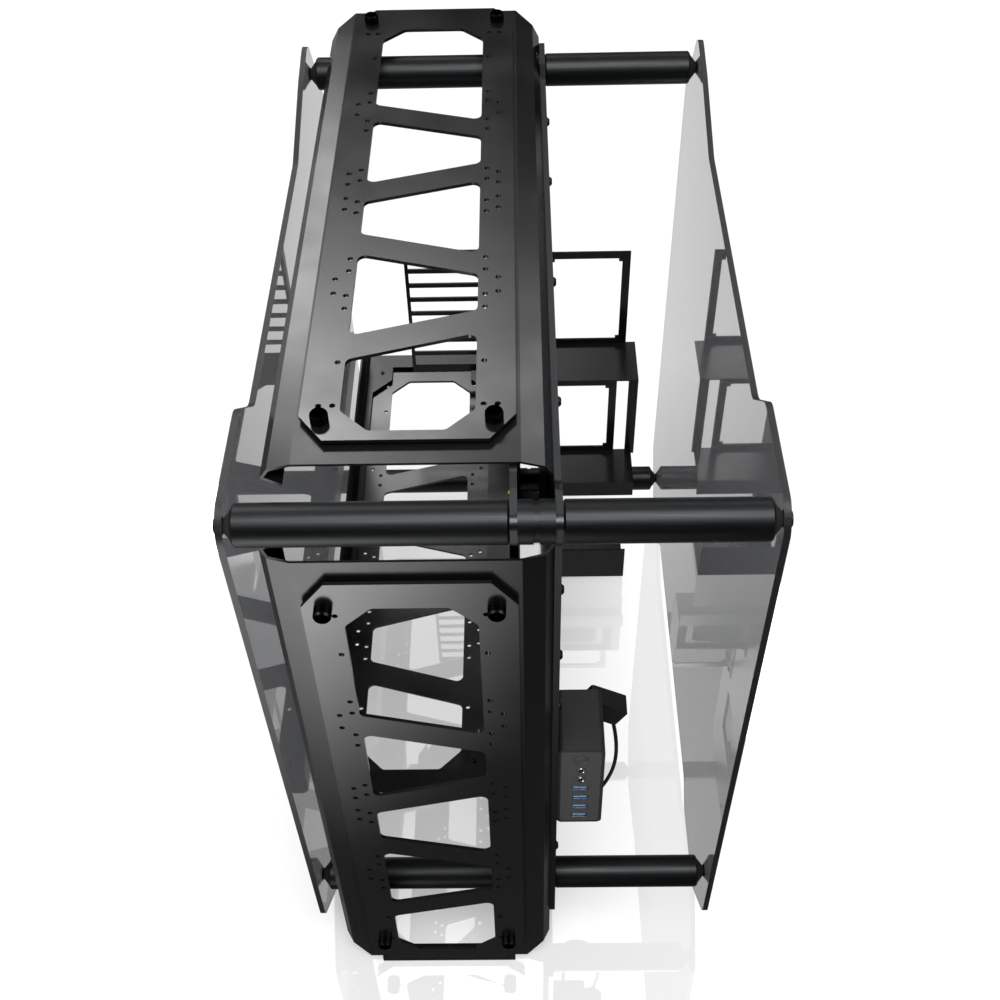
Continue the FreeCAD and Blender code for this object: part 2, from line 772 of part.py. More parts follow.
def plate_outline(top_edge, lobe_top):
    lobe = d.plate_lobe
    front = d.plate_front_depth
    nose = d.front_top_depth - d.plate_nose
    crest = front_top_height + d.plate_nose
    low = d.plate_low_edge
    toe = d.front_bottom_height - 1.5 * lobe
    return [(nose, front_top_height - lobe / 2), (nose, crest), (d.front_top_depth + lobe, crest),
            (d.front_top_depth + 2 * lobe, top_edge), (rear_top_depth - 2 * lobe, top_edge),
            (rear_top_depth - lobe, lobe_top), (rear_top_depth + lobe, lobe_top),
            (plate_rear_depth, lobe_top - 2 * lobe), (plate_rear_depth, d.rear_bottom_height),
            (foot_far_depth, d.plate_foot_height), (foot_near_depth, d.plate_foot_height),
            (foot_near_depth - lobe, low), (d.front_bottom_depth + 3 * lobe, low),
            (d.front_bottom_depth + lobe, toe), (front, toe),
            (front, front_centre_height + half_bracket + d.bracket_sheet)]


def processor_window():
    near = board_rear_depth - d.processor_window_inset
    low = d.bottom_panel_height + d.processor_window_lift
    return box_outline(near, near + d.processor_window_width, low, low + d.processor_window_rise)


def grommet_outline(low, inset):
    """Cable slot of the tray, drawn smaller all round by the inset."""
    near = board_rear_depth - d.grommet_inset
    points = box_outline(near + inset, near + d.grommet_slot_width - inset,
                         low + inset, low + d.grommet_slot_height - inset)
    return rounded(points, d.grommet_slot_width / 3 - inset)


def grommet_heights():
    low = d.bottom_panel_height + d.grommet_lift
    return [low + index * d.grommet_pitch for index in range(int(d.grommet_count))]


def board_spots():
    """Standoff places of a full-size board: three columns and three rows."""
    columns = [board_rear_depth] + [board_rear_depth - step for step in series("board_column_")]
    rows = [board_top_height] + [board_top_height - step for step in series("board_row_")]
    return [(column, row) for column in columns for row in rows]


def corner_holes():
    return [circle(depth, height, d.tube_stud + 2 * d.clearance) for _, depth, height in CORNERS]


def screw_holes(spots):
    return [circle(depth, height, d.screw_shank + 2 * d.clearance) for depth, height in spots]


def top_screw_spots():
    height = top_face_height - panel_stack - flange_middle
    return [(top_centre_depth + along, height) for along, _ in TOP_SCREWS]


def front_screw_spots():
    depth = panel_stack + flange_middle
    return [(depth, front_centre_height + along) for along, _ in FRONT_SCREWS]


def bottom_screw_spots():
    height = d.bottom_panel_height + panel_stack + bottom_flange_middle
    return [(bottom_centre_depth + along, height) for along, _ in BOTTOM_SCREWS]


def slot_screw_spots():
    depth = slot_frame_depth + d.slot_frame_flange / 2
    margin = 2 * d.slot_frame_margin
    return [(depth, slot_low_height + margin), (depth, slot_high_height - margin)]


def cage_screw_spots():
    spots = []
    for depth, low, high in ((supply_frame_depth, d.supply_frame_low, supply_frame_high),
                             (drive_frame_depth, d.drive_frame_low, drive_frame_high),
                             (base_face_depth + d.cage_flange, d.base_face_low, d.base_face_high)):
        for height in (low + d.cage_flange, high - d.screw_head):
            spots.append((depth - d.cage_flange / 2, height))
    return [spot for spot in spots if spot[1] > d.plate_low_edge + d.screw_head]


def box_screw_spots():
    depth = d.box_front_depth + d.box_length - d.screw_head
    return [(depth, d.box_low_height + d.box_height / 4), (depth, d.box_low_height + d.box_height * 3 / 4)]


def middle_plates():
    tray = new_body("motherboard_tray")
    under_web = top_face_height - panel_stack - d.bracket_sheet - d.plate_fold_gap
    loops = [rounded(plate_outline(under_web, under_web), d.plate_corner_radius)]
    loops += corner_holes() + [rounded(processor_window(), d.plate_corner_radius)]
    loops += [grommet_outline(low, 0) for low in grommet_heights()]
    pad(tray, sketch(tray, "YZ_Plane", loops, d.tray_x), "Sheet.plate_sheet")
    holes = screw_holes(board_spots() + bottom_screw_spots() + slot_screw_spots())
    pocket(tray, sketch(tray, "YZ_Plane", holes), both_ways=True)
    kept(tray)
    main = new_body("main_plate")
    shoulder = top_face_height - panel_stack - d.bracket_edge_drop - d.plate_fold_gap
    loops = [rounded(plate_outline(shoulder, rear_top_height + d.plate_lobe), d.plate_corner_radius)]
    loops += corner_holes() + [rounded(processor_window(), d.plate_corner_radius)]
    pad(main, sketch(main, "YZ_Plane", loops, main_plate_x), "Sheet.plate_sheet")
    holes = screw_holes(top_screw_spots() + front_screw_spots() + cage_screw_spots() + box_screw_spots())
    pocket(main, sketch(main, "YZ_Plane", holes), both_ways=True)
    kept(main)


def grommets():
    ring = new_body("grommet_master", Placement())
    loops = [grommet_outline(0, d.clearance), grommet_outline(0, d.grommet_wall)]
    pad(ring, sketch(ring, "YZ_Plane", loops), "Sheet.plate_sheet + 2 * Sheet.grommet_lip")
    group("cable_grommets", ring,
          [Placement(Vector(d.tray_x - d.grommet_lip, front_y, low), Rotation()) for low in grommet_heights()])


# Motherboard side: standoffs and the expansion slot frame

def board_standoffs():
    radius = d.board_standoff_diameter / 2
    shank = d.screw_shank / 2
    height = d.board_standoff_height
    thread = d.board_thread / 2
    floor = d.board_thread_floor
    standoff = turned("board_standoff_master",
                      [(0, -d.plate_sheet), (shank, -d.plate_sheet), (shank, 0), (radius, 0),
                       (radius, height), (thread, height), (thread, floor), (0, floor)])
    group("board_standoffs", standoff,
          [Placement(Vector(d.tray_x, front_y + depth, row), ALONG_LEFT) for depth, row in board_spots()])


def slot_frame():
    frame = new_body("slot_frame")
    sheet_depth = d.bracket_sheet
    right = d.tray_x
    left = right - d.slot_frame_width
    near = slot_frame_depth
    section = [(right, near), (right, near + d.slot_frame_flange),
               (right - sheet_depth, near + d.slot_frame_flange), (right - sheet_depth, near + sheet_depth),
               (left + sheet_depth, near + sheet_depth), (left + sheet_depth, near + d.slot_lip),
               (left, near + d.slot_lip), (left, near)]
    pad(frame, sketch(frame, "XY_Plane", [closed(section)], slot_low_height),
        "Sheet.slot_count * Sheet.slot_pitch + 2 * Sheet.slot_frame_margin")
    loops = []
    slot_left = left + d.slot_side_margin
    for index in range(int(d.slot_count)):
        middle = slot_low_height + d.slot_frame_margin + (index + 0.5) * d.slot_pitch
        loops.append(closed(box_outline(slot_left, slot_left + d.slot_length,
                                        middle - d.slot_opening / 2, middle + d.slot_opening / 2)))
    pocket(frame, sketch(frame, "XZ_Plane", loops), both_ways=True)
    holes = screw_holes(slot_screw_spots())
    pocket(frame, sketch(frame, "YZ_Plane", holes), backwards=True)
    return kept(frame)


# Power supply side: folded cages screwed to the main plate

def cage_window(right, low, high):
    """Opening of a frame with a small screw tab in three of its corners."""
    rim = d.cage_rim
    tab = d.cage_tab
    left = main_plate_right + rim
    right -= rim
    low += rim
    high -= rim
    return closed([(left, low), (right - tab, low), (right - tab, low + tab), (right, low + tab),
                   (right, high - tab), (right - tab, high - tab), (right - tab, high),
                   (left + tab, high), (left + tab, high - tab), (left, high - tab)])


def cage(label, face, shelf, flange_side, window):
    """Upright face with a shelf along its lower edge and a flange on the main plate.
    Face is (depth, width, low, high) and shelf is (near, far, width)."""
    body = new_body(label)
    left = main_plate_right
    depth, width, low, high = face
    near, far, shelf_width = shelf
    loops = [closed(box_outline(left, left + width, low, high))]
    if window:
        loops.append(cage_window(left + width, low, high))
    pad(body, sketch(body, "XZ_Plane", loops, -depth), "Sheet.bracket_sheet", backwards=True)
    pad(body, sketch(body, "XY_Plane", [closed(box_outline(left, left + shelf_width, near, far))], low),
        "Sheet.bracket_sheet")
    flange_near = min(depth, depth + flange_side * d.cage_flange)
    flange_far = max(depth, depth + flange_side * d.cage_flange) + d.bracket_sheet
    flange = closed(box_outline(flange_near, flange_far, low, high))
    pad(body, sketch(body, "YZ_Plane", [flange], left), "Sheet.bracket_sheet")
    spots = [spot for spot in cage_screw_spots()
             if flange_near < spot[0] < flange_far and low < spot[1] < high]
    if spots:
        pocket(body, sketch(body, "YZ_Plane", screw_holes(spots), left), backwards=True,
               length="Sheet.bracket_sheet")
    return kept(body)


def cages():
    thick = d.bracket_sheet
    left = main_plate_right
    supply = cage("supply_cage",
                  (supply_frame_depth, d.cage_width, d.supply_frame_low, supply_frame_high),
                  (supply_shelf_front, supply_frame_depth + thick, d.supply_shelf_width), -1, True)
    strip_right = left + d.supply_shelf_width
    strip = box_outline(strip_right - d.supply_strip_width, strip_right, d.drive_frame_low + thick,
                        d.supply_frame_low + thick)
    pad(supply, sketch(supply, "XZ_Plane", [closed(strip)], -supply_shelf_front), "Sheet.bracket_sheet",
        backwards=True)
    drive = cage("drive_cage",
                 (drive_frame_depth, d.drive_frame_width, d.drive_frame_low, drive_frame_high),
                 (drive_shelf_front, drive_frame_depth + thick, d.drive_shelf_width), -1, True)
    apron = box_outline(left, left + d.drive_shelf_width, d.drive_frame_low - d.drive_apron,
                        d.drive_frame_low + thick)
    pad(drive, sketch(drive, "XZ_Plane", [closed(apron)], -drive_shelf_front), "Sheet.bracket_sheet",
        backwards=True)
    cage("base_cage", (base_face_depth, d.cage_width, d.base_face_low, d.base_face_high),
         (base_face_depth, base_shelf_rear, d.cage_width), 1, False)


# Screws

def screws():
    head = d.screw_head / 2
    shank = d.screw_shank / 2
    crown = d.screw_head_height

    def pan_head(label, length):
        return turned(label, [(0, -length), (shank, -length), (shank, 0), (head, 0), (head, crown / 2),
                              (head - crown / 2, crown), (0, crown)])

    def places(x, turn, spots):
        return [Placement(Vector(x, front_y + depth, height), turn) for depth, height in spots]

    bracket_screw = pan_head("bracket_screw_master", d.plate_sheet + d.bracket_sheet)
    group("bracket_screws", bracket_screw,
          places(main_plate_right, ALONG_RIGHT, top_screw_spots() + front_screw_spots())
          + places(d.tray_x + d.plate_sheet, ALONG_RIGHT, bottom_screw_spots()))
    group("slot_frame_screws", bracket_screw,
          places(d.tray_x - d.bracket_sheet, ALONG_LEFT, slot_screw_spots()))
    group("cage_screws", bracket_screw,
          places(main_plate_right + d.bracket_sheet, ALONG_RIGHT, cage_screw_spots()))
    box_screw = pan_head("box_screw_master", d.plate_sheet + d.box_wall)
    group("box_screws", box_screw, places(main_plate_x, ALONG_LEFT, box_screw_spots()))


# Front connector box on the main plate

box_left = main_plate_right
box_middle_x = box_left + d.box_width / 2
box_top = d.box_low_height + d.box_height
face_back = d.box_front_depth + d.face_thickness
port_back = d.box_front_depth + d.port_length


def rounded_rectangle(middle_x, width, low, high, radius):
    return rounded(box_outline(middle_x - width / 2, middle_x + width / 2, low, high), radius)


def usb_heights():
    return [box_top - d.usb_drop - index * d.usb_pitch for index in range(int(d.usb_count))]


def jack_heights():
    return [box_top - d.jack_drop, box_top - d.jack_drop - d.jack_pitch]


def connector_box():
    wall = d.box_wall
    shell = new_body("box_shell")
    outline = rounded_rectangle(box_middle_x, d.box_width, d.box_low_height, box_top, d.box_corner)
    pad(shell, sketch(shell, "XZ_Plane", [outline], -d.box_front_depth), "Sheet.box_length", backwards=True)
    cavity = rounded_rectangle(box_middle_x, d.box_width - 2 * wall, d.box_low_height + wall, box_top - wall,
                               d.box_corner - wall)
    pocket(shell, sketch(shell, "XZ_Plane", [cavity], -d.box_front_depth),
           length="Sheet.box_length - Sheet.box_wall")
    holes = screw_holes(box_screw_spots())
    pocket(shell, sketch(shell, "YZ_Plane", holes, box_left), backwards=True, length="Sheet.box_wall")
    kept(shell)

    face = new_body("box_face")
    gap = wall + d.clearance
    loops = [rounded_rectangle(box_middle_x, d.box_width - 2 * gap, d.box_low_height + gap, box_top - gap,
                               d.box_corner - wall)]
    loops.append(circle(box_middle_x, box_top - d.button_drop, d.button_diameter + 2 * d.clearance))
    for height in jack_heights():
        loops.append(circle(box_middle_x, height, d.jack_diameter + 2 * d.clearance))
    for height in usb_heights():
        half = d.usb_height / 2 + d.clearance
        loops.append(closed(box_outline(box_middle_x - d.usb_width / 2 - d.clearance,
                                        box_middle_x + d.usb_width / 2 + d.clearance,
                                        height - half, height + half)))
    pad(face, sketch(face, "XZ_Plane", loops, -d.box_front_depth), "Sheet.face_thickness", backwards=True)
    kept(face)

    board = new_body("connector_board")
    inset = wall + d.clearance
    drawing = closed(box_outline(box_middle_x - d.box_width / 2 + inset, box_middle_x + d.box_width / 2 - inset,
                                 d.box_low_height + d.box_corner, box_top - d.box_corner))
    pad(board, sketch(board, "XZ_Plane", [drawing], -port_back), "Sheet.board_thickness", backwards=True)
    kept(board)
    connectors()
    power_button()


def connectors():
    half_width = d.usb_width / 2
    half_height = d.usb_height / 2
    wall = d.usb_wall
    port = new_body("usb_master", Placement())
    shell = closed(box_outline(-half_width, half_width, -half_height, half_height))
    pad(port, sketch(port, "XZ_Plane", [shell]), "Sheet.port_length", backwards=True)
    mouth = closed(box_outline(wall - half_width, half_width - wall, wall - half_height, half_height - wall))
    pocket(port, sketch(port, "XZ_Plane", [mouth]), length="Sheet.port_length * 2 / 3")
    group("usb_ports", port,
          [Placement(Vector(box_middle_x, front_y + d.box_front_depth, height), Rotation())
           for height in usb_heights()])
    tongue = new_body("usb_tongue_master", Placement())
    side = half_width - 2 * wall
    drawing = closed(box_outline(-side, side, half_height - wall - 2 * d.usb_tongue,
                                 half_height - wall - d.usb_tongue))
    pad(tongue, sketch(tongue, "XZ_Plane", [drawing], -d.face_thickness / 2),
        "Sheet.port_length * 2 / 3 - Sheet.face_thickness / 2", backwards=True)
    group("usb_tongues", tongue,
          [Placement(Vector(box_middle_x, front_y + d.box_front_depth, height), Rotation())
           for height in usb_heights()])
    outer = d.jack_diameter / 2
    bore = d.jack_bore / 2
    floor = d.port_length - d.jack_floor
    jack = turned("jack_master", [(bore, 0), (outer, 0), (outer, d.port_length), (0, d.port_length),
                                  (0, floor), (bore, floor)])
    group("audio_jacks", jack,
          [Placement(Vector(box_middle_x, front_y + d.box_front_depth, height), Rotation(Vector(1, 0, 0), -90))
           for height in jack_heights()])


def power_button():
    """Sprung push button: its flange sits behind the face and its stem ends short of the switch."""
    cap = d.button_diameter / 2
    flange = d.button_flange / 2
    stem = d.board_thickness
    dish = d.button_proud / 2
    flange_front = d.button_proud + d.face_thickness + d.clearance
    flange_back = flange_front + d.button_flange_thickness
    stem_end = flange_back + d.button_stem_length
    height = box_top - d.button_drop
    place = Placement(Vector(box_middle_x, front_y + d.box_front_depth - d.button_proud, height),
                      Rotation(Vector(1, 0, 0), -90))
    profile = [(0, dish), (cap - 2 * dish, dish), (cap - dish, 0), (cap, dish), (cap, flange_front),
               (flange, flange_front), (flange, flange_back), (stem, flange_back), (stem, stem_end),
               (0, stem_end)]
    kept(turned("power_button", profile, place))
    switch = new_body("button_switch")
    half = d.switch_side / 2
    outline = box_outline(box_middle_x - half, box_middle_x + half, height - half, height + half)
    pad(switch, sketch(switch, "XZ_Plane", [closed(outline)], -port_back),
        "Sheet.port_length - Sheet.face_thickness - 2 * Sheet.clearance - Sheet.button_flange_thickness"
        " - Sheet.button_stem_length - Sheet.button_travel")
    kept(switch)


def lead_path(corner):
    """Arcs of the lead: the plug's bulging limb, the bottom bend, the limb up and the turn into the wall.
    Corner is the top left corner of the box's rear wall."""
    half = d.cable_hang / 2
    limb = (half ** 2 + d.cable_bulge ** 2) / (2 * d.cable_bulge)
    lean = half / limb
    level = math.sqrt(1 - lean ** 2)
    bend = (d.cable_right - d.cable_left) / (1 + level)
    turn = d.cable_turn
    diagonal = turn / math.sqrt(2)
    foot = d.cable_top + d.cable_hang
    bend_level = foot - bend * lean
    rise_end = d.cable_return + turn

    def spot(right, below, behind=turn):
        return corner + Vector(right, behind, -below)

    arcs = [Part.Arc(spot(d.cable_right, d.cable_top), spot(d.cable_right + d.cable_bulge, d.cable_top + half),
                     spot(d.cable_right, foot)),
            Part.Arc(spot(d.cable_right, foot), spot(d.cable_right - bend * level, bend_level + bend),
                     spot(d.cable_left, bend_level)),
            Part.LineSegment(spot(d.cable_left, bend_level), spot(d.cable_left, rise_end)),
            Part.Arc(spot(d.cable_left, rise_end), spot(d.cable_left, rise_end - diagonal, diagonal),
                     spot(d.cable_left, d.cable_return, 0))]
    ring = Part.makeCircle(d.cable_diameter / 2, spot(d.cable_right, d.cable_top), Vector(lean, 0, -level))
    return Part.Wire([arc.toShape() for arc in arcs]), Part.Wire([ring])


def cable():
    """Plug behind the connector box, and its lead that hangs in a loop back to the box's rear wall."""
    wall_depth = d.box_front_depth + d.box_length
    tilt = math.radians(d.plug_tilt)
    along = Vector(math.cos(tilt), -math.sin(tilt), 0) * (d.plug_length / 2)
    up = Vector(math.sin(tilt), math.cos(tilt), 0) * (d.plug_height / 2)
    middle = Vector(box_left + d.plug_side, box_top - d.plug_drop, 0)
    corners = [middle - along - up, middle + along - up, middle + along + up, middle - along + up]
    plug = new_body("cable_plug")
    outline = rounded([(corner.x, corner.y) for corner in corners], d.box_wall)
    pad(plug, sketch(plug, "XZ_Plane", [outline], -wall_depth), "Sheet.plug_depth", backwards=True)
    kept(plug)
    path, ring = lead_path(Vector(box_left, front_y + wall_depth, box_top))
    lead = doc.addObject("Part::Feature", "connector_cable")
    lead.Label = "connector_cable"
    lead.Shape = path.makePipeShell([ring], True, False).cut(plug.Shape)
    kept(lead)


# Rubber feet

def feet():
    sheet_depth = d.bracket_sheet
    low_edge = front_centre_height - half_bracket
    strip = new_body("front_foot_strip")
    middle = panel_stack + sheet_depth / 2
    half = d.foot_strip_width / 2
    slot = sheet_depth / 2 + d.clearance
    section = [(middle - half, 0), (middle + half, 0), (middle + half, d.foot_strip_height),
               (middle + slot, d.foot_strip_height), (middle + slot, low_edge), (middle - slot, low_edge),
               (middle - slot, d.foot_strip_height), (middle - half, d.foot_strip_height)]
    pad(strip, sketch(strip, "YZ_Plane", [closed(section)], panel_centre_x), "Sheet.foot_strip_length",
        both_ways=True)
    kept(strip)
    rear = new_body("rear_foot")
    outer = d.bracket_overhang
    slot_top = d.plate_foot_height + d.plate_lobe / 2
    left = d.tray_x - outer
    right = main_plate_right + outer
    gap = d.clearance
    section = [(left, 0), (right, 0), (right, slot_top), (main_plate_right + gap, slot_top),
               (main_plate_right + gap, d.plate_foot_height), (main_plate_x - gap, d.plate_foot_height),
               (main_plate_x - gap, slot_top), (d.tray_x + d.plate_sheet + gap, slot_top),
               (d.tray_x + d.plate_sheet + gap, d.plate_foot_height), (d.tray_x - gap, d.plate_foot_height),
               (d.tray_x - gap, slot_top), (left, slot_top)]
    pad(rear, sketch(rear, "XZ_Plane", [closed(section)], -(foot_near_depth + d.plate_lobe / 2)),
        "Sheet.foot_near_inset - Sheet.foot_far_inset - Sheet.plate_lobe", backwards=True)
    kept(rear)
    radius = d.foot_pad_diameter / 2
    disc = turned("foot_pad_master", [(0, 0), (radius - d.plate_fold_gap, 0), (radius, d.base_face_low),
                                      (0, d.base_face_low)])
    depth = (base_face_depth + base_shelf_rear) / 2
    group("base_foot_pads", disc,
          [Placement(Vector(main_plate_right + d.cage_width - radius - edge, front_y + depth, 0), Rotation())
           for edge in (d.foot_pad_edge, d.cage_width / 2)])


panels_and_brackets()
knobs_and_standoffs()
tubes()
glass_screws()
glass("left_glass", -d.case_width / 2)
glass("right_glass", glass_inner_x)
middle_plates()
grommets()
board_standoffs()
slot_frame()
cages()
screws()
connector_box()
cable()
feet()
doc.recompute()

for item in doc.Objects:
    if "Invalid" in item.State or "Error" in item.State:
        raise RuntimeError("failed object " + item.Label)
for piece in pieces:
    if piece.Shape.isNull() or not piece.Shape.isValid():
        raise RuntimeError("bad shape " + piece.Label)

os.makedirs("parts", exist_ok=True)
for piece in pieces:
    piece.Shape.exportStep("parts/%s.step" % piece.Label)
print(len(pieces), "pieces written")
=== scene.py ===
# %% [markdown]
# # Open-frame computer case
#
# The case is a skeleton: two plates down the middle carry the computer, three
# slotted panels face the top, the front and the bottom, and two sheets of smoked
# glass stand off on thick tubes. The solids come from the CAD model, so this file
# only dresses them: it adds the finishes, the small turned pieces, the lead, the
# light and the camera.

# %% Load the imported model
import json
from math import radians

import bmesh
import bpy
from mathutils import Matrix, Vector


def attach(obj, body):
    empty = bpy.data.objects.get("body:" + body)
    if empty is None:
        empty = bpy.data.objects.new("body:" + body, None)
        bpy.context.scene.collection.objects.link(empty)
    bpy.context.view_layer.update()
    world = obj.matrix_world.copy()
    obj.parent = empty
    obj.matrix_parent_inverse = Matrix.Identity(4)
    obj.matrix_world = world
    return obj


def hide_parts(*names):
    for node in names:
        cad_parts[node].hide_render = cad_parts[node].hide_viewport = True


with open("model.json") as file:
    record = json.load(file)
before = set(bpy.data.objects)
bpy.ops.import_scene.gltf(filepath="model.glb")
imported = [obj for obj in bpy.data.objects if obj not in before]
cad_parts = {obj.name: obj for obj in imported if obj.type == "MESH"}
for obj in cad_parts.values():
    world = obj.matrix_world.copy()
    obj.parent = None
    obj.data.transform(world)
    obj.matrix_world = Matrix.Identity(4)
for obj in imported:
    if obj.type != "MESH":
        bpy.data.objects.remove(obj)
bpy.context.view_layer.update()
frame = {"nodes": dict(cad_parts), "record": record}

nodes = frame["nodes"]
scene = bpy.context.scene
scene.view_settings.view_transform = "Standard"

# %% [markdown]
# ## Camera
#
# The photograph looks down at the case from above its front edge, so the upper slotted
# panel in the picture is the top of the case and the lower one is its front. The
# place, the turn and the lens were worked out from the corners of the panels and the
# ends of the tubes. A camera can also be aimed with a Track To constraint, but a
# plain rotation is kept because it holds the slight roll of the photograph.

# %% Camera at the photograph's angle
CAMERA_PLACE = (0.01319, -0.91573, 1.30961)
CAMERA_TURN = (42.497, 1.169, 0.098)  # degrees
CAMERA_LENS, SENSOR_WIDTH = 48.773, 36  # mm

camera_data = bpy.data.cameras.new("camera")
camera_data.sensor_width = SENSOR_WIDTH
camera_data.lens = CAMERA_LENS
camera = bpy.data.objects.new("camera", camera_data)
camera.location = CAMERA_PLACE
camera.rotation_euler = [radians(angle) for angle in CAMERA_TURN]
scene.collection.objects.link(camera)
scene.camera = camera
print("camera", tuple(camera.location))

# %% [markdown]
# ## Helpers for the finishes
#
# A colour is written as it looks on a screen, an sRGB hex value, and the shader wants
# linear light, so one function converts it. A second one adds a node with its
# settings and its links in a single line. The short ones after it are that same call for
# the nodes that come again and again: a range, a bit of arithmetic and a noise. Each gives
# back the socket that the next node links to, which keeps a finish short enough to read
# from top to bottom.

# %% Colour and node helpers
MILLIMETRE = 0.001
NOISE_RANGE = (0.3, 0.7)  # nearly all of a noise texture's values lie between these


def linear(code):
    """The linear colour of an sRGB hex value such as "#1c1d1f"."""
    levels = [int(code[i:i + 2], 16) / 255 for i in (1, 3, 5)]
    return (*[v / 12.92 if v <= 0.04045 else ((v + 0.055) / 1.055) ** 2.4 for v in levels], 1.0)


def add(tree, kind, inputs, **settings):
    """A new node: settings are its properties, inputs are numbers or sockets to link."""
    node = tree.nodes.new(kind)
    for name, value in settings.items():
        setattr(node, name, value)
    for name, value in inputs.items():
        if isinstance(value, bpy.types.NodeSocket):
            tree.links.new(value, node.inputs[name])
        else:
            node.inputs[name].default_value = value
    return node


def ramp(tree, value, start, end, low, high):
    """A value that goes from low to high, and no further, while another goes from start to end."""
    return add(tree, "ShaderNodeMapRange", {
        "Value": value, "From Min": start, "From Max": end,
        "To Min": low, "To Max": high}).outputs["Result"]


def reckon(tree, operation, *terms, clamp=False):
    """The result of a Math node on numbers or sockets."""
    return add(tree, "ShaderNodeMath", dict(enumerate(terms)),
               operation=operation, use_clamp=clamp).outputs[0]


def per_metre(size_mm):
    """The texture scale that repeats a pattern once in this many millimetres."""
    return 1 / (size_mm * MILLIMETRE)


def noise(tree, place, size_mm, detail):
    """A noise with features of about this many millimetres."""
    return add(tree, "ShaderNodeTexNoise", {
        "Vector": place, "Scale": per_metre(size_mm), "Detail": detail}).outputs["Fac"]


def finish_named(name, **sockets):
    """A material with its shader's own sockets set, its node tree, shader and coordinates."""
    material = bpy.data.materials.new(name)
    material.use_nodes = True
    tree = material.node_tree
    shader = tree.nodes["Principled BSDF"]
    for socket, value in sockets.items():
        shader.inputs[socket.replace("_", " ")].default_value = value
    return material, tree, shader, add(tree, "ShaderNodeTexCoord", {}).outputs


def vary_gloss(tree, shader, grain, roughness, spread):
    """Roughness that follows the grain, by up to spread each way."""
    gloss = ramp(tree, grain, *NOISE_RANGE, roughness - spread, roughness + spread)
    tree.links.new(gloss, shader.inputs["Roughness"])


def raise_grain(tree, shader, grain, strength, depth_mm):
    """Bumps that follow the grain."""
    bump = add(tree, "ShaderNodeBump", {
        "Height": grain, "Strength": strength, "Distance": depth_mm * MILLIMETRE})
    tree.links.new(bump.outputs["Normal"], shader.inputs["Normal"])


print("helpers ready")

# %% [markdown]
# ## Powder coat on the folded sheet
#
# The brackets and cages are folded steel with a satin black powder coat. Powder melts
# into a skin with a fine orange peel, about 0.4 mm from bump to bump. That is too fine
# to show in the picture, so it is drawn at 1.5 mm and more. A slow noise changes
# the gloss a little, as the coat is thicker in some places than in others. The panels
# mirror more than the brackets do, so the gloss level is given for each.

# %% Powder coat
COAT_PATCH_MM = 60


def powder_coat(name, colour, gloss_level, roughness, peel_mm, depth_mm):
    """A satin coat whose orange peel has this size and depth."""
    material, tree, shader, coords = finish_named(
        name, Base_Color=linear(colour), Specular_IOR_Level=gloss_level)
    slow = noise(tree, coords["Object"], COAT_PATCH_MM, detail=3.0)
    vary_gloss(tree, shader, slow, roughness, spread=0.04)
    peel = noise(tree, coords["Object"], peel_mm, detail=1.0)
    raise_grain(tree, shader, peel, strength=0.25, depth_mm=depth_mm)
    return material


coated_steel = powder_coat("powder_coated_steel", "#0e0f10", 0.28, 0.24, 1.5, 0.03)
coated_panel = powder_coat("powder_coated_panel", "#0c0d0e", 0.5, 0.19, 1.8, 0.04)
print(coated_steel.name, coated_panel.name)

# %% [markdown]
# ## Anodised aluminium
#
# The middle plates and the tubes are aluminium, dyed black in the anodising bath. The
# metal still shows through the dye, so it is a dark metal and not a paint: metallic is
# 1 and the colour is the reflected colour. The tubes are drawn through a die, which
# leaves faint lines along them, and the plates are rolled. A Mapping node stretches the
# noise along the lines, with one size for each axis.

# %% Anodised plate and tube
def anodised(name, colour, roughness, grain_mm):
    """A dyed metal whose grain has these sizes along X, Y and Z."""
    material, tree, shader, coords = finish_named(
        name, Base_Color=linear(colour), Metallic=1.0)
    lines = add(tree, "ShaderNodeMapping", {
        "Vector": coords["Object"], "Scale": tuple(per_metre(size) for size in grain_mm)})
    grain = add(tree, "ShaderNodeTexNoise", {
        "Vector": lines.outputs["Vector"], "Scale": 1.0, "Detail": 3.0}).outputs["Fac"]
    vary_gloss(tree, shader, grain, roughness, spread=0.05)
    raise_grain(tree, shader, grain, strength=0.12, depth_mm=0.05)
    return material


anodised_plate = anodised("anodised_aluminium_plate", "#3a3b3d", 0.38, (2, 40, 1))
anodised_tube = anodised("anodised_aluminium_tube", "#2c2d2e", 0.44, (60, 1.5, 1.5))
print(anodised_plate.name, anodised_tube.name)

# %% [markdown]
# ## Smoked glass
#
# The side sheets are 5 mm tempered glass, dyed grey in the melt, so only about an eighth
# of the light gets through. Seen at a low angle as here, glass is almost a mirror, and
# that comes from its index of 1.52. The edges are ground, so they are rough and look
# dark. The sheet's faces look along X, so the normal tells the faces from the edge and
# one shader does both. The faces have a roughness of exactly 0, which Cycles calls
# singular.

# %% Smoked glass
GLASS_FACE, GLASS_EDGE = "#68696b", "#121213"
FACE_ROUGHNESS, EDGE_ROUGHNESS = 0.0, 0.55

smoked_glass, tree, shader, coords = finish_named(
    "tempered_grey_glass", IOR=1.52, Transmission_Weight=1.0)
facing = add(tree, "ShaderNodeSeparateXYZ", {0: coords["Normal"]}).outputs["X"]
on_face = reckon(tree, "GREATER_THAN", reckon(tree, "MULTIPLY", facing, facing), 0.5)
dye = add(tree, "ShaderNodeMix", {
    0: on_face, 6: linear(GLASS_EDGE), 7: linear(GLASS_FACE)}, data_type="RGBA")
grind = ramp(tree, on_face, 0.0, 1.0, EDGE_ROUGHNESS, FACE_ROUGHNESS)
tree.links.new(dye.outputs[2], shader.inputs["Base Color"])
tree.links.new(grind, shader.inputs["Roughness"])
print(smoked_glass.name)

